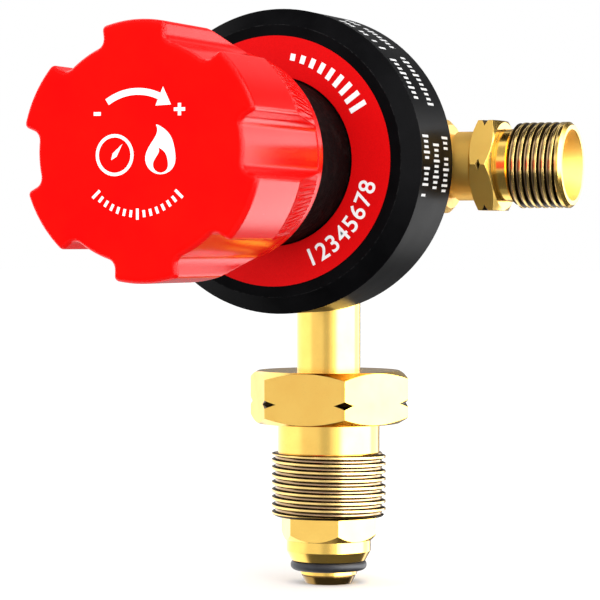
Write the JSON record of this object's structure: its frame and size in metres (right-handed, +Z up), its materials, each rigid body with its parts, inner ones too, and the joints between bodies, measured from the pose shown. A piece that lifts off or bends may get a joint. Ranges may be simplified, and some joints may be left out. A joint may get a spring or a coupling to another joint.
{
  "type": "gas regulator",
  "caption": "Gaugeless bottom-entry cylinder regulator with a fluted adjusting knob, round bonnet ring, threaded side outlet and bullnose inlet with a captive male nut.",
  "frame": {"origin": "the middle of the inlet nut's thread, on the inlet axis", "axes": "+Z up along the inlet axis, away from the cylinder valve; -Y towards the knob; +X along the outlet"},
  "size_m": [0.08, 0.1035, 0.1129],
  "materials": {
    "brass": "bright machined",
    "forged_brass": "fine blasted forging",
    "black_satin": "black satin",
    "black_cast": "rough black cast",
    "label_red": "printed red",
    "red_plastic": "glossy moulded",
    "steel": "turned",
    "spring_steel": "drawn wire",
    "aluminium": "turned",
    "copper": "soft copper washer",
    "sintered_bronze": "sintered, porous",
    "rubber": "fabric-faced sheet",
    "o_ring_rubber": "moulded, slightly glossy",
    "seat_plastic": "machined",
    "washer_plastic": "machined"
  },
  "bodies": {
    "regulator_body": {"body": "forged_brass", "bonnet_ring": "black_satin", "label_plate": "label_red", "spring_housing": "black_cast", "slip_ring": "steel", "diaphragm": "rubber", "valve_nozzle": "brass", "nozzle_seal": "copper", "inlet_stem": "brass", "stem_seal": "copper", "inlet_filter": "sintered_bronze", "bullnose_nipple": "brass", "nipple_o_ring": "o_ring_rubber", "outlet_adapter": "brass", "outlet_seal": "copper", "adjusting_spring": "spring_steel", "valve_spring": "spring_steel"},
    "button": {"spring_button": "steel"},
    "knob": {"adjusting_knob": "red_plastic", "adjusting_screw": "steel", "screw_clip": "spring_steel"},
    "diaphragm_stack": {"diaphragm_plate": "aluminium", "diaphragm_pusher": "brass", "diaphragm_nut": "brass"},
    "poppet": {"valve_poppet": "brass", "seat_disc": "seat_plastic"},
    "nut_slide": {"thrust_washer": "washer_plastic"},
    "nut": {"inlet_nut": "brass"}
  },
  "joints": [
    {"name": "screw_travel", "type": "slide", "parent": "regulator_body", "child": "button", "axis": [0, 1, 0], "range_m": [0, 0.0075], "deforming": ["adjusting_spring"]},
    {"name": "knob_turn", "type": "hinge", "parent": "button", "child": "knob", "pos_m": [0, -0.0695, 0.0641], "axis": [0, 1, 0], "range_deg": [0, 1801]},
    {"name": "diaphragm_stroke", "type": "slide", "parent": "regulator_body", "child": "diaphragm_stack", "axis": [0, 1, 0], "range_m": [0, 0.00101], "deforming": ["diaphragm", "adjusting_spring"]},
    {"name": "poppet_stroke", "type": "slide", "parent": "regulator_body", "child": "poppet", "axis": [0, 1, 0], "range_m": [0, 0.00101], "deforming": ["valve_spring"]},
    {"name": "nut_slide_joint", "type": "slide", "parent": "regulator_body", "child": "nut_slide", "axis": [0, 0, 1], "range_m": [0, 0.0115]},
    {"name": "nut_spin", "type": "hinge", "parent": "nut_slide", "child": "nut", "pos_m": [0, 0, 0.008], "axis": [0, 0, 1], "continuous": true}
  ],
  "couplings": [
    {"joint": "knob_turn", "follows": "screw_travel", "rad_per_m": 4188.8},
    {"joint": "diaphragm_stroke", "follows": "screw_travel", "ratio": 0.13333},
    {"joint": "poppet_stroke", "follows": "screw_travel", "ratio": 0.13333}
  ]
}
